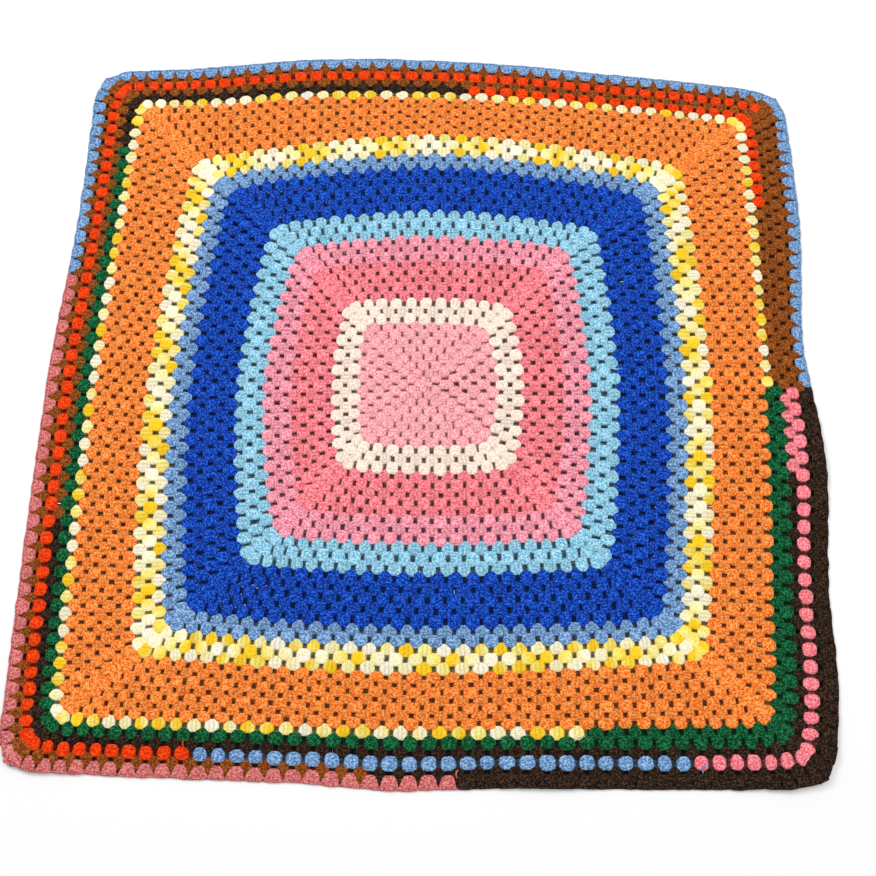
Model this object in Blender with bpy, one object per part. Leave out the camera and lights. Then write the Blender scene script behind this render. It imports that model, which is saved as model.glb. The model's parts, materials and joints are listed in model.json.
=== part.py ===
"""A granny square blanket: one piece of crocheted wool, worked in rounds from its middle, lying flat.

Metres, +Z up, +X to the right and +Y away from the near edge. The origin is on the surface that the
blanket lies on, under the middle of its box.

Each round is a bowed square with rounded corners. The table below gives seven of them, as distances
from the first stitch, and the rounds between follow by proportion. A place on the cloth is (u, v),
counted in rounds from the first stitch: u to the right and v away. The blanket ends at ROUNDS.
"""

import math
from collections import namedtuple

import bmesh
import bpy

ROUNDS = 45
THICKNESS = 0.006
BOW_POWER = 1.6  # how a side's bow falls off from its middle to its corners
CORNER_CUT = 0.012  # how far a rounded corner falls short of the sharp one, along x and along y
CORNER_SPAN = 4.5  # how far from the corner that rounding starts, in rounds
WAVE_DEPTH = 7.0  # how far either side of its own round a wave is felt, in rounds
EDGE_ROUNDING = 0.0015

# The rounds that the sheet's rings follow, and the steps along each side of a ring.
RINGS = (4, 8, 13, 18, 22, 27, 32, 36, 39, 41, 43, 45)
SIDE_STEPS = 20

WOOL_COLOUR = (0.89, 0.19, 0.04, 1.0)
WOOL_ROUGHNESS = 0.9

# Where each side's middle lies, and where the four sharp corners would be, all as distances in
# metres from the first stitch. ne is the right far corner, nw the left far one, and so on round.
Section = namedtuple(
    "Section", "round right far left near ne_x ne_y nw_x nw_y sw_x sw_y se_x se_y"
)
SECTIONS = (
    Section(0, *[0.0] * 12),
    Section(8, 0.110, 0.100, 0.095, 0.099, 0.094, 0.100, 0.093, 0.098, 0.089, 0.097, 0.100, 0.093),
    Section(19, 0.247, 0.249, 0.234, 0.245, 0.216, 0.238, 0.201, 0.225, 0.204, 0.240, 0.230, 0.230),
    Section(27, 0.362, 0.374, 0.343, 0.365, 0.335, 0.336, 0.315, 0.327, 0.319, 0.354, 0.345, 0.344),
    Section(32, 0.428, 0.437, 0.409, 0.430, 0.398, 0.391, 0.375, 0.376, 0.385, 0.416, 0.403, 0.400),
    Section(39, 0.508, 0.506, 0.483, 0.502, 0.491, 0.475, 0.466, 0.479, 0.474, 0.498, 0.487, 0.485),
    Section(45, 0.586, 0.579, 0.556, 0.578, 0.570, 0.533, 0.543, 0.533, 0.547, 0.573, 0.563, 0.566),
)

# Where a round near the edge was worked tighter or looser, so that it waves in the plane of the cloth.
Wave = namedtuple("Wave", "side place round push reach")
WAVES = (
    Wave("right", 4, 45, -0.0105, 21),
    Wave("right", 12, 45, -0.0065, 16),
    Wave("right", -6, 45, 0.008, 15),
    Wave("right", -34, 45, 0.008, 11),
    Wave("far", -15, 45, 0.0055, 20),
    Wave("far", 22, 45, -0.002, 12),
    Wave("far", -31, 39, -0.009, 14),
    Wave("left", 22, 45, -0.006, 20),
    Wave("near", -2, 45, 0.0055, 12),
)

# Where the edge stands off the surface: the place, the height and how far round it that is felt.
Lift = namedtuple("Lift", "u v height reach")
LIFTS = (
    Lift(45, -45, 0.006, 13),
    Lift(45, -7, 0.004, 9),
    Lift(-45, -45, 0.004, 11),
    Lift(-45, 45, 0.005, 12),
    Lift(14, -45, 0.003, 8),
)


def section(number):
    """The distances of any round, in proportion between the two rows of the table around it."""
    for low, high in zip(SECTIONS, SECTIONS[1:]):
        if number <= high.round:
            break
    share = (number - low.round) / (high.round - low.round)
    return Section(*(a + (b - a) * share for a, b in zip(low, high)))


def on_side(t, start, end, middle):
    """A point of one side as (along, out), from its start corner at t = -1 to its end corner at 1."""
    along = (end[0] - start[0]) / 2 * t + (end[0] + start[0]) / 2
    bow = middle - (start[1] + end[1]) / 2
    return along, middle + (end[1] - start[1]) / 2 * t - bow * abs(t) ** BOW_POWER


def swell(distance, reach):
    """1 at its middle, falling smoothly to 0 at its reach."""
    return 0.5 + 0.5 * math.cos(math.pi * min(abs(distance) / reach, 1.0))


def place(u, v):
    """Where a place on the cloth lies, as (x, y) from the first stitch."""
    number = max(abs(u), abs(v))
    if number == 0:
        return 0.0, 0.0
    s = section(number)
    if abs(u) >= abs(v):
        side, t = ("right", v / number) if u > 0 else ("left", v / number)
    else:
        side, t = ("far", u / number) if v > 0 else ("near", u / number)
    start, end, middle = {
        "right": ((-s.se_y, s.se_x), (s.ne_y, s.ne_x), s.right),
        "far": ((-s.nw_x, s.nw_y), (s.ne_x, s.ne_y), s.far),
        "left": ((-s.sw_y, s.sw_x), (s.nw_y, s.nw_x), s.left),
        "near": ((-s.sw_x, s.sw_y), (s.se_x, s.se_y), s.near),
    }[side]
    along, out = on_side(t, start, end, middle)
    for wave in WAVES:
        if wave.side == side:
            share = max(0.0, 1 - abs(wave.round - number) / WAVE_DEPTH)
            out += wave.push * share * swell(t * number - wave.place, wave.reach)
    x, y = {
        "right": (out, along),
        "far": (along, out),
        "left": (-out, along),
        "near": (along, -out),
    }[side]
    from_corner = number - min(abs(u), abs(v))
    cut = CORNER_CUT * max(0.0, 1 - from_corner / CORNER_SPAN) ** 2 * min(1.0, number / CORNER_SPAN)
    return x - math.copysign(cut, u), y - math.copysign(cut, v)


def lift(u, v):
    """How far the underside stands off the surface at a place on the cloth."""
    return sum(
        spot.height * swell(math.hypot(u - spot.u, v - spot.v), spot.reach) for spot in LIFTS
    )


def ring_places(number):
    """The places round one ring, anticlockwise from the right near corner, closer at the corners."""
    steps = [math.sin(math.pi * (k / SIDE_STEPS - 0.5)) for k in range(SIDE_STEPS)]
    for turn in range(4):
        for t in steps:
            u, v = number, number * t
            for _ in range(turn):
                u, v = -v, u
            yield u, v


def middle_of_edge():
    """The middle of the blanket's box, measured from the first stitch."""
    xs, ys = zip(*(place(u, v) for u, v in ring_places(ROUNDS)))
    return (min(xs) + max(xs)) / 2, (min(ys) + max(ys)) / 2


def sheet_mesh():
    """The underside as one open sheet, in rings of quads round a fan at the first stitch."""
    centre_x, centre_y = middle_of_edge()
    bm = bmesh.new()

    def vertex(u, v):
        x, y = place(u, v)
        return bm.verts.new((x - centre_x, y - centre_y, lift(u, v)))

    middle = vertex(0, 0)
    rings = [[vertex(u, v) for u, v in ring_places(number)] for number in RINGS]
    count = 4 * SIDE_STEPS
    for k in range(count):
        following = (k + 1) % count
        bm.faces.new((middle, rings[0][k], rings[0][following]))
        for inner, outer in zip(rings, rings[1:]):
            bm.faces.new((inner[k], outer[k], outer[following], inner[following]))
    mesh = bpy.data.meshes.new("blanket")
    bm.to_mesh(mesh)
    bm.free()
    return mesh


def wool():
    material = bpy.data.materials.new("crocheted_wool")
    material.use_nodes = True
    shader = material.node_tree.nodes["Principled BSDF"]
    shader.inputs["Base Color"].default_value = WOOL_COLOUR
    shader.inputs["Roughness"].default_value = WOOL_ROUGHNESS
    shader.inputs["Metallic"].default_value = 0.0
    return material


def make_blanket():
    """The blanket: the underside sheet given its thickness upwards, with softened edges."""
    blanket = bpy.data.objects.new("blanket", sheet_mesh())
    bpy.context.collection.objects.link(blanket)
    blanket.data.materials.append(wool())
    thick = blanket.modifiers.new("thickness", "SOLIDIFY")
    thick.thickness = THICKNESS
    thick.offset = 1.0
    soft = blanket.modifiers.new("softened_edges", "BEVEL")
    soft.width = EDGE_ROUNDING
    soft.segments = 1
    soft.limit_method = "ANGLE"
    soft.angle_limit = math.radians(50)
    blanket.data.shade_smooth()
    return blanket


for old in list(bpy.data.objects):
    bpy.data.objects.remove(old, do_unlink=True)
make_blanket()
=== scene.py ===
"""A granny square blanket of crocheted wool, lying flat: the yarns, the stitches and the studio.

Metres, +Z up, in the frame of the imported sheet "blanket". A place on the cloth is (u, v), counted
in rounds from the first stitch: u to the right and v away. Clusters of three stitches are set on it
in rounds, and each cluster is two rounds wide. In a stitch's own measures x runs along its round
and y outwards, both in rounds, and z is its height in HEIGHT_UNITs.
"""

import json
import math
from bisect import bisect
from collections import namedtuple
from functools import cache

import bpy
from mathutils import Matrix, Vector

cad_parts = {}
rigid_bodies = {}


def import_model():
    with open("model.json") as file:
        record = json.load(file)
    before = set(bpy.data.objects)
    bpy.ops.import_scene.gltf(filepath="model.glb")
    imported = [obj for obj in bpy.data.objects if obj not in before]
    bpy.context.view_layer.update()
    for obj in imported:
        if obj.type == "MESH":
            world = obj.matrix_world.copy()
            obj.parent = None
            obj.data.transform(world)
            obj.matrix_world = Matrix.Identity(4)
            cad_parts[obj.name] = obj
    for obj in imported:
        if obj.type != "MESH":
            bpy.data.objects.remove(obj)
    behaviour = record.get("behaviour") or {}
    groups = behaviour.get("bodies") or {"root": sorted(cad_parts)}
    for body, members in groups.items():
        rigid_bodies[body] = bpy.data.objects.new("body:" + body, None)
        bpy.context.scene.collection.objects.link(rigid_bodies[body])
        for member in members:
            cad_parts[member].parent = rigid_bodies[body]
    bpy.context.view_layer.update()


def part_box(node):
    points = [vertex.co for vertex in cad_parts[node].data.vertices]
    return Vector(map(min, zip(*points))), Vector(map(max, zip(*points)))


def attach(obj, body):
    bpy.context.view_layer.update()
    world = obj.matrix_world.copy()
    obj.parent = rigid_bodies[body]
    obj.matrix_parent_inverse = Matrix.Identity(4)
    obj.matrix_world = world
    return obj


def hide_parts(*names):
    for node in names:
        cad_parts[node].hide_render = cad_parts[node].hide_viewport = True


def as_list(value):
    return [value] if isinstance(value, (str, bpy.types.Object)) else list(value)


# --- The cloth -----------------------------------------------------------------------------------

ROUNDS = 45
HEIGHT_UNIT = 0.0074  # what a height of one means in the stitches below, in metres
LEAST_DEPTH = 0.0105  # of a round, in metres
MOST_DEPTH, MOST_AT_CORNER = 1.30, 1.17  # of a round, as shares of half a cluster's width
SIDES = ("right", "far", "left", "near")  # in the order of an anticlockwise round

BOW_POWER = 1.6  # how a side's bow falls off from its middle to its corners
CORNER_CUT = 0.012  # how far a rounded corner falls short of the sharp one, along x and along y
CORNER_SPAN = 4.5  # how far from the corner that rounding starts, in rounds
INNER_CUT = 0.35  # the share of that rounding inside the border, which brings it up to the whole
WAVE_DEPTH = 7.0  # how far either side of its own round a wave is felt, in rounds
SIDE_STEPS, STEPS_A_ROUND = 8, 4  # a side's length is measured in so many steps, and more a round
EDGE_STEPS = 20  # the edge's box is measured in so many steps a round

# The blanket's shape, as in its solid: where each side's middle lies and where the four sharp
# corners would be, as distances in metres from the first stitch. ne is the right far corner.
Section = namedtuple(
    "Section", "round right far left near ne_x ne_y nw_x nw_y sw_x sw_y se_x se_y"
)
SECTIONS = (
    Section(0, *[0.0] * 12),
    Section(8, 0.110, 0.100, 0.095, 0.099, 0.094, 0.100, 0.093, 0.098, 0.089, 0.097, 0.100, 0.093),
    Section(19, 0.247, 0.249, 0.234, 0.245, 0.216, 0.238, 0.201, 0.225, 0.204, 0.240, 0.230, 0.230),
    Section(27, 0.362, 0.374, 0.343, 0.365, 0.335, 0.336, 0.315, 0.327, 0.319, 0.354, 0.345, 0.344),
    Section(32, 0.428, 0.437, 0.409, 0.430, 0.398, 0.391, 0.375, 0.376, 0.385, 0.416, 0.403, 0.400),
    Section(39, 0.508, 0.506, 0.483, 0.502, 0.491, 0.475, 0.466, 0.479, 0.474, 0.498, 0.487, 0.485),
    Section(45, 0.586, 0.579, 0.556, 0.578, 0.570, 0.533, 0.543, 0.533, 0.547, 0.573, 0.563, 0.566),
)
# Where a round near the edge waves in the plane of the cloth.
Wave = namedtuple("Wave", "side place round push reach")
WAVES = (
    Wave("right", 4, 45, -0.0105, 21),
    Wave("right", 12, 45, -0.0065, 16),
    Wave("right", -6, 45, 0.008, 15),
    Wave("right", -34, 45, 0.008, 11),
    Wave("far", -15, 45, 0.0055, 20),
    Wave("far", 22, 45, -0.002, 12),
    Wave("far", -31, 39, -0.009, 14),
    Wave("left", 22, 45, -0.006, 20),
    Wave("near", -2, 45, 0.0055, 12),
)
# Where the edge stands off the surface.
Lift = namedtuple("Lift", "u v height reach")
LIFTS = (
    Lift(45, -45, 0.006, 13),
    Lift(45, -7, 0.004, 9),
    Lift(-45, -45, 0.004, 11),
    Lift(-45, 45, 0.005, 12),
    Lift(14, -45, 0.003, 8),
)

# --- The yarns -----------------------------------------------------------------------------------

# Colours as red, green and blue from 0 to 255. A yarn shows its shade colour as painted shade and
# its bright one as painted highlight, in a pattern over its plies and curls. The variegated yarn's
# colours are its stops further down: its shade multiplies them, and its bright is only that of its
# loose fibres.
Yarn = namedtuple("Yarn", "colour shade bright")
YARNS = {
    "light_pink": Yarn((243, 163, 169), (211, 115, 125), (252, 199, 201)),
    "cream": Yarn((247, 225, 209), (219, 185, 161), (253, 243, 232)),
    "salmon": Yarn((243, 124, 134), (200, 71, 84), (255, 170, 176)),
    "dusky_pink": Yarn((240, 145, 163), (192, 88, 112), (255, 187, 200)),
    "sky_blue": Yarn((136, 197, 223), (68, 142, 176), (196, 232, 246)),
    "royal_blue": Yarn((4, 54, 160), (0, 17, 90), (42, 112, 232)),
    "cornflower_blue": Yarn((105, 147, 193), (52, 86, 140), (166, 198, 232)),
    "variegated": Yarn(None, (236, 216, 176), (255, 250, 196)),
    "orange": Yarn((244, 127, 45), (190, 70, 11), (255, 177, 99)),
    "green": Yarn((2, 74, 37), (0, 31, 13), (34, 130, 80)),
    "dark_brown": Yarn((33, 18, 9), (8, 4, 2), (83, 60, 41)),
    "brown": Yarn((132, 66, 14), (78, 34, 6), (180, 102, 40)),
    "red_orange": Yarn((233, 54, 2), (178, 30, 0), (250, 92, 16)),
    "rose_pink": Yarn((203, 104, 104), (151, 62, 67), (234, 153, 146)),
}
SLOTS = {name: name + "_wool" for name in YARNS}
SLOTS["variegated"] = "variegated_yellow_wool"

# The variegated yarn along its length, over one repeat.
VARIEGATED_REPEAT = 5.1  # clusters
VARIEGATED_STOPS = (
    (0.00, (250, 244, 228)),
    (0.17, (250, 244, 206)),
    (0.30, (248, 238, 150)),
    (0.44, (250, 222, 78)),
    (0.52, (250, 204, 26)),
    (0.64, (250, 208, 40)),
    (0.74, (248, 235, 142)),
    (0.90, (250, 244, 212)),
    (1.00, (250, 244, 228)),
)

# The bands of whole rounds, from the middle outwards.
Band = namedtuple("Band", "name yarn first last")
BANDS = (
    Band("light_pink_middle", "light_pink", 1, 8),
    Band("cream_band", "cream", 9, 11),
    Band("salmon_band", "salmon", 12, 16),
    Band("dusky_pink_band", "dusky_pink", 17, 19),
    Band("sky_blue_band", "sky_blue", 20, 22),
    Band("royal_blue_band", "royal_blue", 23, 27),
    Band("cornflower_blue_band", "cornflower_blue", 28, 29),
    Band("variegated_band", "variegated", 30, 32),
    Band("orange_band", "orange", 33, 39),
)

# The border's rounds were made of ends of yarn. Each round starts and ends at the join, on the
# right side, and goes anticlockwise. A stretch of one yarn ends at a place on a side, counted in
# rounds from that side's middle, to the right or away.
JOIN = 0.5
Stretch = namedtuple("Stretch", "round yarn side place")
BORDER = (
    Stretch(40, "variegated", "near", 18.0),
    Stretch(40, "green", "right", JOIN),
    Stretch(41, "brown", "right", 25.0),
    Stretch(41, "red_orange", "far", 3.0),
    Stretch(41, "dark_brown", "left", 33.0),
    Stretch(41, "green", "right", JOIN),
    Stretch(42, "brown", "left", -16.0),
    Stretch(42, "dark_brown", "right", -10.0),
    Stretch(42, "salmon", "right", JOIN),
    Stretch(43, "brown", "far", 42.1),
    Stretch(43, "red_orange", "near", -23.0),
    Stretch(43, "cornflower_blue", "near", 29.0),
    Stretch(43, "salmon", "right", JOIN),
    Stretch(44, "brown", "near", -4.0),
    Stretch(44, "dark_brown", "right", JOIN),
    Stretch(45, "cornflower_blue", "left", 15.0),
    Stretch(45, "rose_pink", "near", 5.0),
    Stretch(45, "dark_brown", "right", JOIN),
)


# --- The blanket's shape -------------------------------------------------------------------------


def row_for(table, number):
    """The row of any round, in proportion between the two rows of the table around it."""
    for low, high in zip(table, table[1:]):
        if number <= high.round:
            break
    share = (number - low.round) / (high.round - low.round)
    return type(low)(*(a + (b - a) * share for a, b in zip(low, high)))


def on_side(t, start, end, middle):
    """A point of one side as (along, out), from its start corner at t = -1 to its end at 1."""
    along = (end[0] - start[0]) / 2 * t + (end[0] + start[0]) / 2
    bow = middle - (start[1] + end[1]) / 2
    return along, middle + (end[1] - start[1]) / 2 * t - bow * abs(t) ** BOW_POWER


def swell(distance, reach):
    """1 at its middle, falling smoothly to 0 at its reach."""
    return 0.5 + 0.5 * math.cos(math.pi * min(abs(distance) / reach, 1.0))


def place(u, v):
    """Where a place on the cloth lies, as (x, y) from the first stitch."""
    number = max(abs(u), abs(v))
    if number == 0:
        return 0.0, 0.0
    s = row_for(SECTIONS, number)
    if abs(u) >= abs(v):
        side, t = ("right", v / number) if u > 0 else ("left", v / number)
    else:
        side, t = ("far", u / number) if v > 0 else ("near", u / number)
    start, end, middle = {
        "right": ((-s.se_y, s.se_x), (s.ne_y, s.ne_x), s.right),
        "far": ((-s.nw_x, s.nw_y), (s.ne_x, s.ne_y), s.far),
        "left": ((-s.sw_y, s.sw_x), (s.nw_y, s.nw_x), s.left),
        "near": ((-s.sw_x, s.sw_y), (s.se_x, s.se_y), s.near),
    }[side]
    along, out = on_side(t, start, end, middle)
    for wave in WAVES:
        if wave.side == side:
            share = max(0.0, 1 - abs(wave.round - number) / WAVE_DEPTH)
            out += wave.push * share * swell(t * number - wave.place, wave.reach)
    x, y = {
        "right": (out, along),
        "far": (along, out),
        "left": (-out, along),
        "near": (along, -out),
    }[side]
    from_corner = number - min(abs(u), abs(v))
    in_border = max(0.0, (number - BANDS[-1].last) / (ROUNDS - BANDS[-1].last))
    cut = CORNER_CUT * (INNER_CUT + (1 - INNER_CUT) * in_border**2)
    cut *= max(0.0, 1 - from_corner / CORNER_SPAN) ** 2 * min(1.0, number / CORNER_SPAN)
    return x - math.copysign(cut, u), y - math.copysign(cut, v)


def lift(u, v):
    """How far the underside stands off the surface at a place on the cloth."""
    return sum(
        spot.height * swell(math.hypot(u - spot.u, v - spot.v), spot.reach) for spot in LIFTS
    )


@cache
def first_stitch():
    """Where the first stitch lies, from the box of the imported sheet."""
    low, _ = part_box("blanket")
    edge = [k / EDGE_STEPS - ROUNDS for k in range(2 * EDGE_STEPS * ROUNDS + 1)]
    left = min(place(-ROUNDS, v)[0] for v in edge)
    near = min(place(u, -ROUNDS)[1] for u in edge)
    return low[0] - left, low[1] - near


@cache
def side_line(side, outward):
    """Points along one side of a ring, corner to corner, and how far along each of them lies."""
    turn = Matrix.Rotation((side - 1) * math.pi / 2, 2)
    steps = SIDE_STEPS + int(STEPS_A_ROUND * outward)
    points = []
    for k in range(steps + 1):
        points.append(Vector(place(*(turn @ Vector((outward * (2 * k / steps - 1), outward))))))
    lengths = [0.0]
    for start, end in zip(points, points[1:]):
        lengths.append(lengths[-1] + (end - start).length)
    return points, lengths


def on_ring(side, share, outward):
    """The place at a share of a side's length from its middle, -1 to 1, and on round the corner."""
    if outward == 0:
        return Vector((0.0, 0.0))
    if abs(share) > 1:
        step = 1 if share > 0 else -1
        side, share = side - step, share - 2 * step
    points, lengths = side_line(side % 4, outward)
    reach = (share + 1) / 2 * lengths[-1]
    k = min(bisect(lengths, reach), len(lengths) - 1)
    return points[k - 1].lerp(points[k], (reach - lengths[k - 1]) / (lengths[k] - lengths[k - 1]))


# --- The stitches --------------------------------------------------------------------------------

# A cluster of three double crochets worked into one gap, as rows across it from its foot to its
# head. wall is half its width, top how high its posts stand, gap how far to each side its strands
# reach down in the gaps, where they close the holes as a dark floor, and the last how much painted
# shade darkens them there, from 0 to 1. A row with more of that than IN_GAP lies between two gaps.
IN_GAP = 0.5
Row = namedtuple("Row", "y wall top gap hole")
WRONG_SIDE = (
    Row(-0.16, 0.36, 0.30, 0.40, 0.20),
    Row(-0.05, 0.57, 0.38, 0.62, 0.20),
    Row(0.16, 0.70, 0.44, 1.08, 0.75),
    Row(0.50, 0.75, 0.46, 1.08, 1.00),
    Row(0.80, 0.75, 0.46, 1.08, 0.80),
    Row(1.04, 0.64, 0.43, 0.70, 0.10),
    Row(1.22, 0.34, 0.32, 0.39, 0.10),
)
RIGHT_SIDE = (
    Row(-0.14, 0.47, 0.32, 0.51, 0.20),
    Row(-0.02, 0.64, 0.44, 0.69, 0.20),
    Row(0.20, 0.72, 0.49, 1.08, 0.75),
    Row(0.54, 0.76, 0.53, 1.08, 1.00),
    Row(0.86, 0.76, 0.53, 1.08, 0.80),
    Row(1.12, 0.66, 0.49, 0.72, 0.10),
    Row(1.30, 0.38, 0.38, 0.43, 0.10),
)
CLOSE = (
    Row(-0.14, 0.44, 0.30, 0.70, 0.20),
    Row(0.02, 0.70, 0.42, 1.08, 0.15),
    Row(0.28, 0.81, 0.47, 1.10, 0.25),
    Row(0.52, 0.82, 0.49, 1.10, 1.00),
    Row(0.78, 0.82, 0.49, 1.10, 0.25),
    Row(1.02, 0.70, 0.47, 0.90, 0.15),
    Row(1.24, 0.32, 0.36, 0.40, 0.10),
)
LAST_ROUND = (
    Row(-0.32, 0.44, 0.29, 0.50, 0.20),
    Row(-0.16, 0.68, 0.41, 0.74, 0.20),
    Row(0.10, 0.78, 0.46, 1.06, 0.90),
    Row(0.42, 0.83, 0.47, 1.06, 1.00),
    Row(0.70, 0.89, 0.45, 1.06, 0.90),
    Row(0.90, 1.00, 0.40, 1.04, 0.10),
    Row(1.02, 0.98, 0.24, 1.02, 0.00),
)
# The round under the last one is lower, and its heads reach up between the last round's clusters.
UNDER_LAST = (
    Row(-0.10, 0.40, 0.22, 0.46, 0.20),
    Row(0.04, 0.54, 0.32, 0.60, 0.20),
    Row(0.20, 0.64, 0.38, 1.06, 0.90),
    Row(0.50, 0.68, 0.42, 1.06, 1.00),
    Row(0.76, 0.64, 0.43, 1.06, 0.90),
    Row(0.96, 0.50, 0.43, 0.56, 0.10),
    Row(1.28, 0.30, 0.41, 0.35, 0.10),
    Row(1.60, 0.11, 0.28, 0.15, 0.10),
)


def altered(rows, gap, wall=1.0):
    """Rows whose strands reach further into the gaps, past walls that are a share as wide."""
    return tuple(
        row._replace(wall=wall * row.wall, gap=gap) if row.hole > IN_GAP else row for row in rows
    )


CORNER = altered(RIGHT_SIDE, 1.18)
BESIDE_JOIN = altered(RIGHT_SIDE, 1.16, 0.88)  # thinner, so that the join's gaps are larger
# What fills the gap at a corner, low down between the two clusters there, painted dark as shade.
CORNER_WEB = (
    Row(-0.20, 0.20, 0.10, 0.40, 0.60),
    Row(0.10, 0.50, 0.16, 0.90, 0.90),
    Row(0.70, 0.70, 0.18, 1.20, 0.90),
    Row(1.10, 0.40, 0.12, 0.80, 0.80),
)
GAP_FLOOR = 0.04  # how high the strands down in a gap lie, where they close the hole under painted shade
END_FLOOR = 0.3  # the same as a share of the top, where that is less, and of an end row's underside
FOOT_OUT, FOOT_HEIGHT = 1.05, 0.20  # where a wall starts, as shares of the wall and the top
FOOT_SHADE_SHARE = 0.96  # how much of a gap's painted shade reaches there

# A cluster's outline across a row, from its wall's foot to near its middle: each point's place and
# height as shares of the wall and the top, and its painted light, from 0 in the darkest painted
# shade to 1 in none. The wrong side shows two grooves between its posts, with painted shade in
# them.
Point = namedtuple("Point", "across height light")
GROOVED = (Point(0.98, 0.68, 0.92), Point(0.66, 1.00, 1.00), Point(0.30, 0.88, 0.72))
ROUNDED = (Point(1.00, 0.60, 0.85), Point(0.86, 0.88, 1.00), Point(0.50, 0.99, 1.00))
# Where a row's parts lie across its posts, each one wide: the outline, the wall's foot, the strands
# in the gap and the underside.
WALL_POSTS, FOOT_POSTS, GAP_POSTS, BELOW_POSTS = 1.6, 1.9, 2.4, -3.0
# How much painted shade a row's underside gets, as its painted light from 0 to 1.
LIGHT_BELOW = 0.4
CLOSING_POST = 0.7  # how far past its last part a row's map runs on, to where it closes

# The loop along the blanket's edge, from gap to gap over a whole cluster. half is half its
# thickness.
LoopPoint = namedtuple("LoopPoint", "x y height half")
EDGE = (
    LoopPoint(-1.05, 1.00, 0.26, 0.13),
    LoopPoint(-0.52, 1.03, 0.30, 0.14),
    LoopPoint(0.00, 1.04, 0.31, 0.14),
    LoopPoint(0.52, 1.03, 0.30, 0.14),
    LoopPoint(1.05, 1.00, 0.26, 0.13),
)
# A loose end of yarn, lying on the stitches.
YARN_END = (
    LoopPoint(-0.50, 0.12, 0.46, 0.05),
    LoopPoint(-0.26, -0.02, 0.60, 0.09),
    LoopPoint(0.04, -0.06, 0.63, 0.10),
    LoopPoint(0.32, 0.04, 0.60, 0.09),
    LoopPoint(0.50, 0.22, 0.46, 0.05),
)
ROUND_LOOP = ((1, 0), (0, 1), (-1, 0), (0, -1))  # across and up
LOOP_LIGHT, LOOP_TOP = 0.85, 0.15  # a loop's painted light on its sides, and how much lighter its top is painted

# A point of a stitch: its place, where it lies across the posts, and its painted light, 1 where it
# takes no painted shade.
Spot = namedtuple("Spot", "x y z across light")


def cluster_rings(rows, outline, width):
    """The rings of a cluster: over its three posts from gap to gap, and back underneath."""
    rings = []
    for row in rows:
        wall, end = row.wall * width, row in (rows[0], rows[-1])
        floor, foot = min(GAP_FLOOR, END_FLOOR * row.top), FOOT_HEIGHT * row.top
        # The strands down in the gap and the wall's foot take the row's painted shade.
        half = [
            Spot(row.gap, row.y, floor, GAP_POSTS, 1 - row.hole),
            Spot(FOOT_OUT * wall, row.y, foot, FOOT_POSTS, 1 - FOOT_SHADE_SHARE * row.hole),
        ]
        for across, height, light in outline:
            half.append(Spot(across * wall, row.y, height * row.top, WALL_POSTS * across, light))
        top = Spot(0.0, row.y, row.top, 0.0, 1.0)
        left = [spot._replace(x=-spot.x, across=-spot.across) for spot in reversed(half)]
        height = END_FLOOR * row.top if end else 0.0
        below = Spot(0.0, row.y, height, BELOW_POSTS, LIGHT_BELOW)
        rings.append([*half, top, *left, below])
    return rings


def loop_rings(points):
    """The rings of a loop strand along its points."""
    return [
        [
            Spot(
                at.x,
                at.y + side * at.half,
                at.height + up * at.half,
                side,
                LOOP_LIGHT + LOOP_TOP * up,
            )
            for side, up in ROUND_LOOP
        ]
        for at in points
    ]


def stitch_object(name, rings, along, collection):
    """A closed mesh over rings, with its yarn's run as a map: along it and across it."""
    sides = len(rings[0])
    spots = [spot for ring in rings for spot in ring]
    faces, maps = [], []
    for k in range(len(rings) - 1):
        for j in range(sides):
            following = (j + 1) % sides
            low, high = k * sides, (k + 1) * sides
            corners = (low + following, low + j, high + j, high + following)
            start = spots[j].across
            end = spots[following].across if following else start - CLOSING_POST
            faces.append(corners)
            across = (end, start, start, end)
            maps.extend((along(spots[c]), a) for c, a in zip(corners, across))
    for cap in (tuple(range(sides)), tuple(reversed(range(len(spots) - sides, len(spots))))):
        faces.append(cap)
        maps.extend((along(spots[c]), spots[c].across) for c in cap)
    mesh = bpy.data.meshes.new(name)
    mesh.from_pydata([(spot.x, spot.y, spot.z) for spot in spots], [], faces)
    uv = mesh.uv_layers.new(name="strand")
    uv.data.foreach_set("uv", [value for spot in maps for value in spot])
    # depth carries each point's painted light: 1 for none of the painted shade, 0 for the darkest.
    for key, values in (
        ("depth", [spot.light for spot in spots]),
        ("order", [-spot.x / 2 for spot in spots]),
    ):
        mesh.attributes.new(key, "FLOAT", "POINT").data.foreach_set("value", values)
    stitch = bpy.data.objects.new(name, mesh)
    collection.objects.link(stitch)
    return stitch


def new_collection(name):
    made = bpy.data.collections.new(name)
    bpy.context.scene.collection.children.link(made)
    return made


# The kinds of cluster, in the order that the points name them. Right-side rounds are the odd ones,
# and every other round is worked from the back, so its wrong side shows.
Kind = namedtuple("Kind", "rows outline")
KINDS = {
    "right": Kind(RIGHT_SIDE, ROUNDED),
    "wrong": Kind(WRONG_SIDE, GROOVED),
    "close": Kind(CLOSE, ROUNDED),
    "corner": Kind(CORNER, ROUNDED),
    "under": Kind(UNDER_LAST, GROOVED),
    "join": Kind(BESIDE_JOIN, ROUNDED),
    "last": Kind(LAST_ROUND, ROUNDED),
}
WIDTHS = (0.97, 1.01, 1.05)
WIDTH_STEPS = (7, 5)  # what mixes the widths, from one cluster and from one round to the next
JOIN_REACH = 1.5  # a cluster nearer than this to the join is beside it, in rounds
CORNER_REACH = 3  # and one no further than this from a corner is at it


def make_clusters():
    """The clusters that the rounds are made of: each kind in each width."""
    made = new_collection("clusters")
    for k, kind in enumerate(KINDS.values()):
        for w, width in enumerate(WIDTHS):
            rings = cluster_rings(kind.rows, kind.outline, width)
            stitch_object(f"cluster_{len(WIDTHS) * k + w:02d}", rings, lambda spot: spot.y, made)
    return made


# What is added to the clusters, in the order that the points name them.
WEB, EDGE_LOOP, LOOSE_END = range(3)


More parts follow.
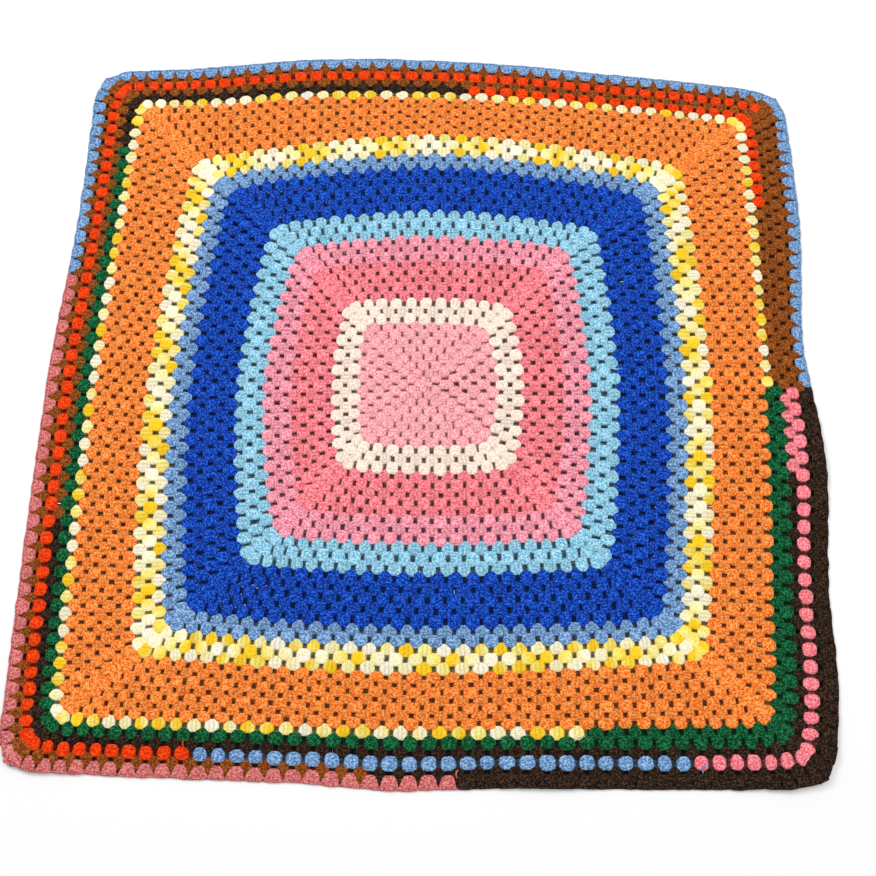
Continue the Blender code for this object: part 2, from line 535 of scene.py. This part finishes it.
def make_extras():
    """The web in a corner, the loop along the edge and a loose end."""
    made = new_collection("extras")
    web = cluster_rings(CORNER_WEB, ROUNDED, 1.0)
    stitch_object(f"extra_{WEB}", web, lambda spot: spot.y, made)
    stitch_object(f"extra_{EDGE_LOOP}", loop_rings(EDGE), lambda spot: spot.x, made)
    stitch_object(f"extra_{LOOSE_END}", loop_rings(YARN_END), lambda spot: spot.x, made)
    return made


# --- Where the stitches go -----------------------------------------------------------------------

Cluster = namedtuple("Cluster", "round side along number")
CLOSE_ROUNDS = 8  # the first rounds, worked closely


def round_clusters(number):
    """The clusters of one round, anticlockwise from its right near corner."""
    for s, side in enumerate(SIDES):
        for k in range(number):
            yield Cluster(number, side, number - 1 - 2 * k, s * number + k)


def side_place(spot):
    """A cluster's place on its side, counted to the right or away, as the border's table has it."""
    return -spot.along if spot.side in ("right", "near") else spot.along


def way_round(number, side, at):
    """How far round from the join a place is, anticlockwise, in rounds."""
    if side == "right":
        return at - JOIN if at > JOIN else 8 * number + at - JOIN
    turned = {"far": 2 * number - at, "left": 4 * number - at, "near": 6 * number + at}
    return turned[side] - JOIN


def yarn_at(spot):
    """The yarn of a cluster."""
    for band in BANDS:
        if band.first <= spot.round <= band.last:
            return band.yarn
    here = way_round(spot.round, spot.side, side_place(spot))
    for stretch in BORDER:
        if stretch.round == spot.round:
            at_join = stretch.side == "right" and stretch.place == JOIN
            end = 8 * spot.round if at_join else way_round(spot.round, stretch.side, stretch.place)
            if here < end:
                return stretch.yarn
    raise ValueError(spot)


# Loose ends left at the changes of yarn: the piece each belongs to, how far along its side, and
# clockwise, and how far out it lies, which way it runs, in degrees from its round, and its length
# in half clusters.
LooseEnd = namedtuple("LooseEnd", "piece side along out turn length")
LOOSE_ENDS = (
    LooseEnd("cornflower_blue_border", "near", -30.2, 44.1, 60, 1.3),
    LooseEnd("rose_pink_border", "near", -4.9, 44.6, 80, 0.9),
    LooseEnd("red_orange_border", "near", 23.9, 42.6, 100, 1.3),
    LooseEnd("variegated_border", "near", -17.2, 41.0, 20, 1.2),
    LooseEnd("sky_blue_band", "right", -2.2, 22.8, 75, 1.4),
)

# One stitch set in its place, turned further than its round and scaled along itself.
Setting = namedtuple("Setting", "shape spot turn length", defaults=(0.0, 1.0))
CORNER_LOOP = 0.5  # the length of the edge's loop over a corner


def extras_of(name, spots):
    """The webs in the corners of a piece's rounds, the loops on the edge, and its loose ends."""
    for spot in spots:
        if spot.along == spot.round - 1:
            corner = spot._replace(along=spot.round)
            yield Setting(WEB, corner)
            if spot.round == ROUNDS:
                yield Setting(EDGE_LOOP, corner, length=CORNER_LOOP)
        if spot.round == ROUNDS:
            yield Setting(EDGE_LOOP, spot)
    for end in LOOSE_ENDS:
        if end.piece == name:
            lies = Cluster(end.out, end.side, end.along, 0)
            yield Setting(LOOSE_END, lies, math.radians(end.turn), end.length)


def sorted_clusters():
    """Every cluster of the blanket, by the name of the piece it belongs to."""
    pieces = {band.name: [] for band in BANDS}
    for band in BANDS:
        for number in range(band.first, band.last + 1):
            pieces[band.name].extend(round_clusters(number))
    for number in range(BANDS[-1].last + 1, ROUNDS + 1):
        for spot in round_clusters(number):
            pieces.setdefault(yarn_at(spot) + "_border", []).append(spot)
    return pieces


# The clusters are a little wider along the middle of a side and crowd towards its corners: a share
# of half the side.
CROWDING = 0.024
# Towards each end of a side they crowd further, and those at the corner are pulled to it, in
# rounds. The outer rounds of the near side do so most at their right end, but the last is pulled
# no further.
End = namedtuple("End", "crowding pull")
EACH_END, NEAR_RIGHT_END = End(0.034, 0.35), End(0.07, 0.9)
NEAR_RIGHT_FROM = 33
PULL_POWER = 9  # how that pull falls off from the corner
# And those of the middle of a side are drawn along it, clockwise, in rounds.
Drawn = namedtuple("Drawn", "round right far left near")
DRAWN = (
    Drawn(0, 0.0, 0.0, 0.0, 0.0),
    Drawn(14, 0.1, -0.2, -0.4, 0.2),
    Drawn(26, -0.5, -0.35, -0.5, 0.9),
    Drawn(36, -0.9, 0.1, -0.5, 0.55),
    Drawn(45, -1.4, 0.3, -0.4, 0.75),
)
TANGENT_REACH = 0.6  # how far to each side a cluster follows the run of its round, in rounds
CORNER_TURN = 1.0  # how much further back from its corner one beside it does, so that it leans out
CORNER_WIDTH = 1.04  # how much wider the clusters at a corner are
Seat = namedtuple("Seat", "foot angle width depth")


def settled(spot):
    """Where on its side a cluster settled, -1 to 1, and its width for its share of the side."""
    if spot.along == spot.round:
        return 1.0, 1.0
    share = spot.along / spot.round
    drawn = getattr(row_for(DRAWN, spot.round), spot.side) / spot.round
    wave, slope = math.sin(math.pi * share), math.pi * math.cos(math.pi * share)
    at_near_right = spot.side == "near" and share < 0 and spot.round >= NEAR_RIGHT_FROM
    end = NEAR_RIGHT_END if at_near_right else EACH_END
    pull = (EACH_END.pull if spot.round == ROUNDS else end.pull) / spot.round
    crowding = CROWDING + end.crowding * share**2
    moved = share + crowding * wave + drawn * (1 - share**2) + pull * share**PULL_POWER
    wider = 1 + crowding * slope + 2 * end.crowding * share * wave - 2 * drawn * share
    wider += PULL_POWER * pull * share ** (PULL_POWER - 1)
    return moved, wider


@cache
def seat(spot):
    """Where a cluster sits: its foot, the way it faces, and how wide and deep a round is there."""
    side, middle = SIDES.index(spot.side), spot.round - 0.5
    share, wider = settled(spot)
    at_corner = abs(spot.along) == spot.round - 1 > 0
    either = TANGENT_REACH / spot.round
    facing = share - math.copysign(CORNER_TURN / spot.round, share) if at_corner else share
    run = on_ring(side, facing + either, middle) - on_ring(side, facing - either, middle)
    outward = Vector((-run.y, run.x)).normalized()
    depth = (on_ring(side, share, spot.round) - on_ring(side, share, spot.round - 1)).dot(outward)
    width = side_line(side, middle)[1][-1] / spot.round / 2 * (CORNER_WIDTH if at_corner else wider)
    most = (MOST_AT_CORNER if at_corner else MOST_DEPTH) * width
    depth = max(LEAST_DEPTH, min(depth, most))
    foot = on_ring(side, share, middle) - outward * depth / 2 + Vector(first_stitch())
    turn = Matrix.Rotation((side - 1) * math.pi / 2, 2)
    height = lift(*(turn @ Vector((share * middle, middle))))
    return Seat((*foot, height), math.atan2(run.y, run.x), width, depth)


def cluster_shape(spot):
    """Which of the made clusters a place has."""
    kind = ("wrong", "right")[spot.round % 2]
    if spot.round == ROUNDS:
        kind = "last"
    elif spot.side == "right" and abs(side_place(spot) - JOIN) < JOIN_REACH:
        kind = "join"
    elif spot.round <= CLOSE_ROUNDS:
        kind = "close"
    elif abs(spot.along) >= spot.round - CORNER_REACH:
        kind = "corner"
    elif spot.round == ROUNDS - 1:
        kind = "under"
    mixed = spot.number * WIDTH_STEPS[0] + spot.round * WIDTH_STEPS[1]
    return len(WIDTHS) * list(KINDS).index(kind) + mixed % len(WIDTHS)


def stitch_points(name, settings):
    """A mesh of one point for each stitch: its shape, turn and size, and how far along the yarn."""
    verts, shapes, turns, sizes, yarns = [], [], [], [], []
    for setting in settings:
        spot, at = setting.spot, seat(setting.spot)
        verts.append(at.foot)
        shapes.append(setting.shape)
        turns.extend((0.0, 0.0, at.angle + setting.turn))
        way = way_round(spot.round, spot.side, side_place(spot)) / 2
        before = 2 * spot.round * (spot.round - 1)
        yarns.append(before + (way if spot.round % 2 else 4 * spot.round - way))
        sizes.extend((setting.length * at.width, at.depth, 1.0))
    mesh = bpy.data.meshes.new(name)
    mesh.from_pydata(verts, [], [])
    mesh.attributes.new("shape", "INT", "POINT").data.foreach_set("value", shapes)
    mesh.attributes.new("yarn", "FLOAT", "POINT").data.foreach_set("value", yarns)
    for key, values in (("turn", turns), ("size", sizes)):
        mesh.attributes.new(key, "FLOAT_VECTOR", "POINT").data.foreach_set("vector", values)
    points = bpy.data.objects.new(name, mesh)
    bpy.context.collection.objects.link(points)
    return points


# --- The tree that works the stitches ------------------------------------------------------------


def add(tree, kind, inputs=None, **settings):
    """A node with its settings, and its inputs linked or set."""
    node = tree.nodes.new(kind)
    for key, value in settings.items():
        setattr(node, key, value)
    for key, value in (inputs or {}).items():
        if isinstance(key, str):
            socket = next(s for s in node.inputs if s.name == key and s.enabled)
        else:
            socket = node.inputs[key]
        if isinstance(value, bpy.types.NodeSocket):
            tree.links.new(value, socket)
        else:
            socket.default_value = value
    return node


def out(node, name=None):
    """A node's output by name, or its first one in use."""
    return next(s for s in node.outputs if s.enabled and name in (None, s.name))


def attribute(tree, name, kind="FLOAT"):
    node = add(tree, "GeometryNodeInputNamedAttribute", {"Name": name}, data_type=kind)
    return out(node, "Attribute")


TURN_SEED = 100.0  # what sets the stitches' turns apart from their growths
TURN_AXES = (0.5, 0.5, 1.0)  # how much of a turn goes round each axis
WANDER_AXES = (1.0, 1.0, 0.1)  # and how much of the wander along each
WANDER_NOISE = {"Scale": 44.0, "Detail": 1.0, "Roughness": 0.6}
BAKE_SCALE, BAKE_MIDDLE = 0.8, (0.5, 0.5, 0.0)  # the cloth's plan, within the unit square


def stitch_tree():
    """Sets a stitch on every point, each a little different, and makes the whole cloth uneven."""
    tree = bpy.data.node_groups.new("work_the_stitches", "GeometryNodeTree")
    tree.interface.new_socket("Geometry", in_out="INPUT", socket_type="NodeSocketGeometry")
    for name, kind in (
        ("Stitches", "NodeSocketCollection"),
        ("Yarn", "NodeSocketMaterial"),
        ("Height Unit", "NodeSocketFloat"),
        ("Wander", "NodeSocketFloat"),
        ("Turn", "NodeSocketFloat"),
        ("Growth", "NodeSocketFloat"),
        ("Seed", "NodeSocketInt"),
    ):
        tree.interface.new_socket(name, in_out="INPUT", socket_type=kind)
    tree.interface.new_socket("Geometry", in_out="OUTPUT", socket_type="NodeSocketGeometry")
    given = tree.nodes.new("NodeGroupInput").outputs

    def vector_math(operation, a, b):
        slot = "Scale" if operation == "SCALE" else 1
        node = add(tree, "ShaderNodeVectorMath", {0: a, slot: b}, operation=operation)
        return out(node)

    def spread(seed_step):
        seed = add(tree, "ShaderNodeMath", {0: given["Seed"], 1: seed_step}, operation="ADD")
        inputs = {"Min": (-1.0,) * 3, "Max": (1.0,) * 3, "Seed": out(seed)}
        return out(add(tree, "FunctionNodeRandomValue", inputs, data_type="FLOAT_VECTOR"))

    stitches = add(
        tree,
        "GeometryNodeCollectionInfo",
        {"Collection": given["Stitches"], "Separate Children": True, "Reset Children": True},
    )
    turning = vector_math("MULTIPLY", spread(TURN_SEED), TURN_AXES)
    turning = vector_math("SCALE", turning, given["Turn"])
    rotation = vector_math("ADD", attribute(tree, "turn", "FLOAT_VECTOR"), turning)
    growth = vector_math("SCALE", spread(0.0), given["Growth"])
    growth = vector_math("ADD", growth, (1.0, 1.0, 1.0))
    unit = out(add(tree, "ShaderNodeCombineXYZ", {"X": 1.0, "Y": 1.0, "Z": given["Height Unit"]}))
    size = vector_math("MULTIPLY", attribute(tree, "size", "FLOAT_VECTOR"), unit)
    placed = add(
        tree,
        "GeometryNodeInstanceOnPoints",
        {
            "Points": given["Geometry"],
            "Instance": out(stitches),
            "Pick Instance": True,
            "Instance Index": attribute(tree, "shape", "INT"),
            "Rotation": rotation,
            "Scale": vector_math("MULTIPLY", size, growth),
        },
    )
    chance = {"Min": 0.0, "Max": 1.0, "Seed": given["Seed"]}
    tone = add(tree, "FunctionNodeRandomValue", chance, data_type="FLOAT")
    toned = add(
        tree,
        "GeometryNodeStoreNamedAttribute",
        {"Geometry": out(placed), "Name": "tone", "Value": out(tone)},
        data_type="FLOAT",
        domain="INSTANCE",
    )
    whole = add(tree, "GeometryNodeRealizeInstances", {"Geometry": out(toned)})
    here = out(add(tree, "GeometryNodeInputPosition"))
    noise = {"Vector": here, **WANDER_NOISE}
    drift = add(tree, "ShaderNodeTexNoise", noise, noise_dimensions="3D")
    push = vector_math("SUBTRACT", out(drift, "Color"), (0.5, 0.5, 0.5))
    push = vector_math("SCALE", push, given["Wander"])
    push = vector_math("MULTIPLY", push, WANDER_AXES)
    uneven = add(tree, "GeometryNodeSetPosition", {"Geometry": out(whole), "Offset": push})
    bake_spot = vector_math("ADD", vector_math("SCALE", here, BAKE_SCALE), BAKE_MIDDLE)
    mapped = add(
        tree,
        "GeometryNodeStoreNamedAttribute",
        {"Geometry": out(uneven), "Name": "OFBake", "Value": bake_spot},
        data_type="FLOAT2",
        domain="CORNER",
    )
    smooth = add(tree, "GeometryNodeSetShadeSmooth", {"Geometry": out(mapped)})
    dress = {"Geometry": out(smooth), "Material": given["Yarn"]}
    dressed = add(tree, "GeometryNodeSetMaterial", dress)
    finished = tree.nodes.new("NodeGroupOutput")
    tree.links.new(out(dressed), finished.inputs["Geometry"])
    return tree


def worked(name, points, tree, values):
    """The finished mesh of the tree on these points, as its own object at the origin."""
    modifier = points.modifiers.new("stitches", "NODES")
    modifier.node_group = tree
    sockets = {
        item.name: item.identifier
        for item in tree.interface.items_tree
        if item.in_out == "INPUT"
    }
    for key, value in values.items():
        modifier[sockets[key]] = value
    bpy.context.view_layer.update()
    seen = points.evaluated_get(bpy.context.evaluated_depsgraph_get())
    mesh = bpy.data.meshes.new_from_object(seen)
    mesh.name = name
    for key in ("shape", "turn", "size"):
        if key in mesh.attributes:
            mesh.attributes.remove(mesh.attributes[key])
    source = points.data
    bpy.data.objects.remove(points)
    bpy.data.meshes.remove(source)
    piece = bpy.data.objects.new(name, mesh)
    bpy.context.collection.objects.link(piece)
    return piece


# --- The wool ------------------------------------------------------------------------------------

# The scales of the wool's noises, a metre.
CURL_SCALE, FIBRE_SCALE, PLY_SCALE, DYE_SCALE = 340.0, 850.0, 200.0, 14.0
PLIES = 4.0  # in a stitch
PLY_LEAN, PLY_WANDER = 0.9, 2.2  # how far the plies lean towards a post's sides, and wander
DYE_WANDER = 3.0  # how far the variegated yarn's colours do, in clusters
# How much the curls, the plies and the fibres show in a strand's painted highlight and shade, and
# its surface.
CURL_GAIN, FIBRE_GAIN = 3.7, 1.1
PLY_SHARE, CURL_SHARE = 0.30, 0.70
PLY_HEIGHT, FIBRE_HEIGHT = 0.5, 0.4
BUMP = {"Strength": 0.7, "Distance": 0.0008}
DARKEST_STITCH, TONE_RANGE = 0.94, 0.12
GAP_POWER = 0.9  # how the painted shade deepens down in a gap
GAP_SHADE_COLOUR = (0.05, 0.05, 0.05, 1.0)  # painted shade: what the yarn's shade colour, squared, is multiplied by there
SURFACE = {
    "Roughness": 0.9,
    "Specular IOR Level": 0.15,
    "Sheen Weight": 0.25,
    "Sheen Roughness": 0.5,
}


def linear(colour):
    """A colour from 0 to 255 as a linear one with full alpha, by the sRGB curve."""
    shares = [part / 255 for part in colour]
    return (*(c / 12.92 if c <= 0.04045 else ((c + 0.055) / 1.055) ** 2.4 for c in shares), 1.0)


def wool(name, yarn):
    """Soft wool: plied strands with painted highlights and shade, painted shade down in the gaps,
    and a little sheen of loose fibres.
    """
    material = bpy.data.materials.new(name)
    material.use_nodes = True
    tree = material.node_tree
    shader = tree.nodes["Principled BSDF"]

    def value(operation, a, b=0.0, c=0.0, clamp=False):
        inputs = {0: a, 1: b, 2: c}
        node = add(tree, "ShaderNodeMath", inputs, operation=operation, use_clamp=clamp)
        return out(node)

    def mix(kind, share, a, b):
        node = add(tree, "ShaderNodeMix", data_type="RGBA", blend_type=kind)
        for key, given in ((0, share), (6, a), (7, b)):
            if isinstance(given, bpy.types.NodeSocket):
                tree.links.new(given, node.inputs[key])
            else:
                node.inputs[key].default_value = given
        return node.outputs[2]

    def from_mesh(key):
        return out(add(tree, "ShaderNodeAttribute", attribute_name=key), "Fac")

    place_on = out(add(tree, "ShaderNodeTexCoord"), "Object")
    strand = add(tree, "ShaderNodeUVMap", uv_map="strand")
    parts = add(tree, "ShaderNodeSeparateXYZ", {"Vector": out(strand)})

    def noise(scale, detail, roughness=0.55):
        inputs = {"Vector": place_on, "Scale": scale, "Detail": detail, "Roughness": roughness}
        return out(add(tree, "ShaderNodeTexNoise", inputs), "Fac")

    curls, fibres = noise(CURL_SCALE, 1.0), noise(FIBRE_SCALE, 1.0)
    post = value("FRACT", value("ADD", out(parts, "Y"), 0.5))
    post = value("ABSOLUTE", value("SUBTRACT", post, 0.5))
    lean = value("MULTIPLY", post, PLY_LEAN)
    ply = value("ADD", value("MULTIPLY", out(parts, "X"), PLIES), lean)
    ply = value("ADD", ply, value("MULTIPLY", noise(PLY_SCALE, 1.0), PLY_WANDER))
    ply = value("MULTIPLY_ADD", value("SINE", value("MULTIPLY", ply, math.tau)), 0.5, 0.5)

    if yarn.colour is None:
        run = value("ADD", from_mesh("yarn"), from_mesh("order"))
        run = value("ADD", run, value("MULTIPLY", noise(DYE_SCALE, 0.0), DYE_WANDER))
        run = value("FRACT", value("DIVIDE", run, VARIEGATED_REPEAT))
        ramp = add(tree, "ShaderNodeValToRGB", {"Fac": run})
        stops = ramp.color_ramp.elements
        while len(stops) < len(VARIEGATED_STOPS):
            stops.new(0.5)
        for stop, (at, colour) in zip(stops, VARIEGATED_STOPS):
            stop.position, stop.color = at, linear(colour)
        dyed = bright = out(ramp, "Color")
        shade = mix("MULTIPLY", 1.0, dyed, linear(yarn.shade))
    else:
        dyed, shade, bright = linear(yarn.colour), linear(yarn.shade), linear(yarn.bright)
    # Painted highlight and shade: the plies, curls and fibres mix the yarn's shade colour, its own
    # and its bright one.
    curl = value("MULTIPLY_ADD", value("SUBTRACT", curls, 0.5), CURL_GAIN, 0.5, clamp=True)
    lit = value("MULTIPLY_ADD", ply, PLY_SHARE, value("MULTIPLY", curl, CURL_SHARE))
    lit = value("MULTIPLY_ADD", value("SUBTRACT", fibres, 0.5), FIBRE_GAIN, lit, clamp=True)
    low = mix("MIX", value("MULTIPLY", lit, 2.0, clamp=True), shade, dyed)
    high = value("MULTIPLY_ADD", lit, 2.0, -1.0, clamp=True)
    colour = mix("MIX", high, low, bright)
    # Painted shade down in the gaps: towards depth 0 the colour turns to the shade colour squared,
    # darkened further.
    deep = mix("MULTIPLY", 1.0, shade, shade)
    deep = mix("MULTIPLY", 1.0, deep, GAP_SHADE_COLOUR)
    open_to_light = value("POWER", from_mesh("depth"), GAP_POWER, clamp=True)
    colour = mix("MIX", open_to_light, deep, colour)
    level = value("MULTIPLY_ADD", from_mesh("tone"), TONE_RANGE, DARKEST_STITCH)
    grey = add(tree, "ShaderNodeCombineXYZ", {0: level, 1: level, 2: level})
    colour = mix("MULTIPLY", 1.0, colour, out(grey))
    tree.links.new(colour, shader.inputs["Base Color"])

    fuzz = value("MULTIPLY_ADD", fibres, FIBRE_HEIGHT, curl)
    height = value("MULTIPLY_ADD", ply, PLY_HEIGHT, fuzz)
    bump = add(tree, "ShaderNodeBump", {"Height": height, **BUMP})
    tree.links.new(out(bump), shader.inputs["Normal"])
    for key, setting in {**SURFACE, "Sheen Tint": linear(yarn.bright)}.items():
        shader.inputs[key].default_value = setting
    return material


# --- The blanket ---------------------------------------------------------------------------------

WANDER = 0.0044  # the range over which the cloth's unevenness pushes a stitch, in metres
TURN = 0.05  # how far a cluster can turn from its place, in radians
GROWTH = 0.05  # how much larger or smaller than its place it can be


def make_blanket():
    """Works every piece: its clusters, and the webs, loops and loose ends that go with them."""
    tree = stitch_tree()
    clusters, extras = make_clusters(), make_extras()
    woollens = {name: wool(name + "_yarn", yarn) for name, yarn in YARNS.items()}
    yarn_of = {band.name: band.yarn for band in BANDS}
    pieces = []
    for seed, (name, spots) in enumerate(sorted_clusters().items()):
        yarn = yarn_of.get(name) or name.removesuffix("_border")
        common = {
            "Yarn": woollens[yarn],
            "Height Unit": HEIGHT_UNIT,
            "Wander": WANDER,
            "Seed": seed,
        }
        points = stitch_points(name, [Setting(cluster_shape(spot), spot) for spot in spots])
        settings = {**common, "Stitches": clusters, "Turn": TURN, "Growth": GROWTH}
        stitched = worked(name, points, tree, settings)
        added = []
        extra = list(extras_of(name, spots))
        if extra:
            points = stitch_points(name + "_extras", extra)
            settings = {**common, "Stitches": extras, "Turn": 0.0, "Growth": 0.0}
            added.append(worked(name + "_extras", points, tree, settings))
        pieces.append((stitched, added, yarn, spots))
    for made in (clusters, extras):
        for stitch in list(made.objects):
            bpy.data.objects.remove(stitch)
        bpy.data.collections.remove(made)
    return pieces


def declare(stitched, added, yarn, spots):
    """Attaches a piece and what is added to it to the root body, and hides the imported sheet.

    It was worked flat; how deep its rounds are is worked out from its clusters' places.
    """
    for piece in (stitched, *added):
        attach(piece, "root")
        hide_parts("blanket")
    seats = [seat(spot) for spot in spots]
    depth = len({spot.round for spot in spots}) * sum(at.depth for at in seats) / len(seats)
    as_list(added)


# --- The studio ----------------------------------------------------------------------------------

FLOOR_REACH = 6.0
FLOOR_SURFACE = {
    "Base Color": (0.86, 0.86, 0.86, 1.0),
    "Roughness": 0.9,
    "Specular IOR Level": 0.1,
}
Lamp = namedtuple("Lamp", "name size power place")
LAMPS = (
    Lamp("key_light", 1.4, 54.0, (-2.2, 1.6, 2.6)),
    Lamp("top_light", 3.0, 50.0, (1.2, 0.3, 3.2)),
)
ROOM_STRENGTH = 0.66

# The camera's elevation, azimuth and roll, in radians, its distance from its aim, its lens and
# sensor, in millimetres, and where it aims, from the first stitch.
ELEVATION, AZIMUTH, ROLL, DISTANCE = 1.2046, -0.0024, 0.0267, 1.8668
LENS, SENSOR = 52.38, 36.0
AIM = (0.0246, -0.0837)


def make_floor():
    """A plain pale floor, under the blanket."""
    mesh = bpy.data.meshes.new("studio_floor")
    ways = ((-1, -1), (1, -1), (1, 1), (-1, 1))
    corners = [(FLOOR_REACH * x, FLOOR_REACH * y, 0.0) for x, y in ways]
    mesh.from_pydata(corners, [], [(0, 1, 2, 3)])
    floor = bpy.data.objects.new("studio_floor", mesh)
    bpy.context.collection.objects.link(floor)
    material = bpy.data.materials.new("studio_floor")
    material.use_nodes = True
    shader = material.node_tree.nodes["Principled BSDF"]
    for key, setting in FLOOR_SURFACE.items():
        shader.inputs[key].default_value = setting
    mesh.materials.append(material)


def make_lights():
    """A soft key from the far left, a wide lamp overhead and a pale room."""
    for lamp in LAMPS:
        data = bpy.data.lights.new(lamp.name, "AREA")
        data.size, data.energy = lamp.size, lamp.power
        light = bpy.data.objects.new(lamp.name, data)
        light.location = lamp.place
        light.rotation_euler = (-Vector(lamp.place)).to_track_quat("-Z", "Y").to_euler()
        bpy.context.collection.objects.link(light)
    world = bpy.data.worlds.new("pale_room")
    world.use_nodes = True
    background = world.node_tree.nodes["Background"]
    background.inputs["Color"].default_value = (1.0, 1.0, 1.0, 1.0)
    background.inputs["Strength"].default_value = ROOM_STRENGTH
    bpy.context.scene.world = world


def make_camera():
    """The camera, high over the near edge and turned a little."""
    first_x, first_y = first_stitch()
    aim = Vector((first_x + AIM[0], first_y + AIM[1], 0.0))
    level = Vector((math.cos(AZIMUTH), -math.sin(AZIMUTH), 0.0))
    towards = Vector((math.sin(AZIMUTH), math.cos(AZIMUTH), 0.0))
    ahead = math.cos(ELEVATION) * towards - math.sin(ELEVATION) * Vector((0.0, 0.0, 1.0))
    up = level.cross(ahead)
    across = math.cos(ROLL) * level + math.sin(ROLL) * up
    upright = math.cos(ROLL) * up - math.sin(ROLL) * level
    data = bpy.data.cameras.new("camera")
    data.sensor_width, data.lens = SENSOR, LENS
    camera = bpy.data.objects.new("camera", data)
    turn = Matrix((across, upright, -ahead)).transposed()
    camera.matrix_world = Matrix.Translation(aim - DISTANCE * ahead) @ turn.to_4x4()
    bpy.context.collection.objects.link(camera)
    bpy.context.scene.camera = camera


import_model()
make_camera()
make_lights()
make_floor()
bpy.context.scene.view_settings.view_transform = "Standard"
for piece in make_blanket():
    declare(*piece)
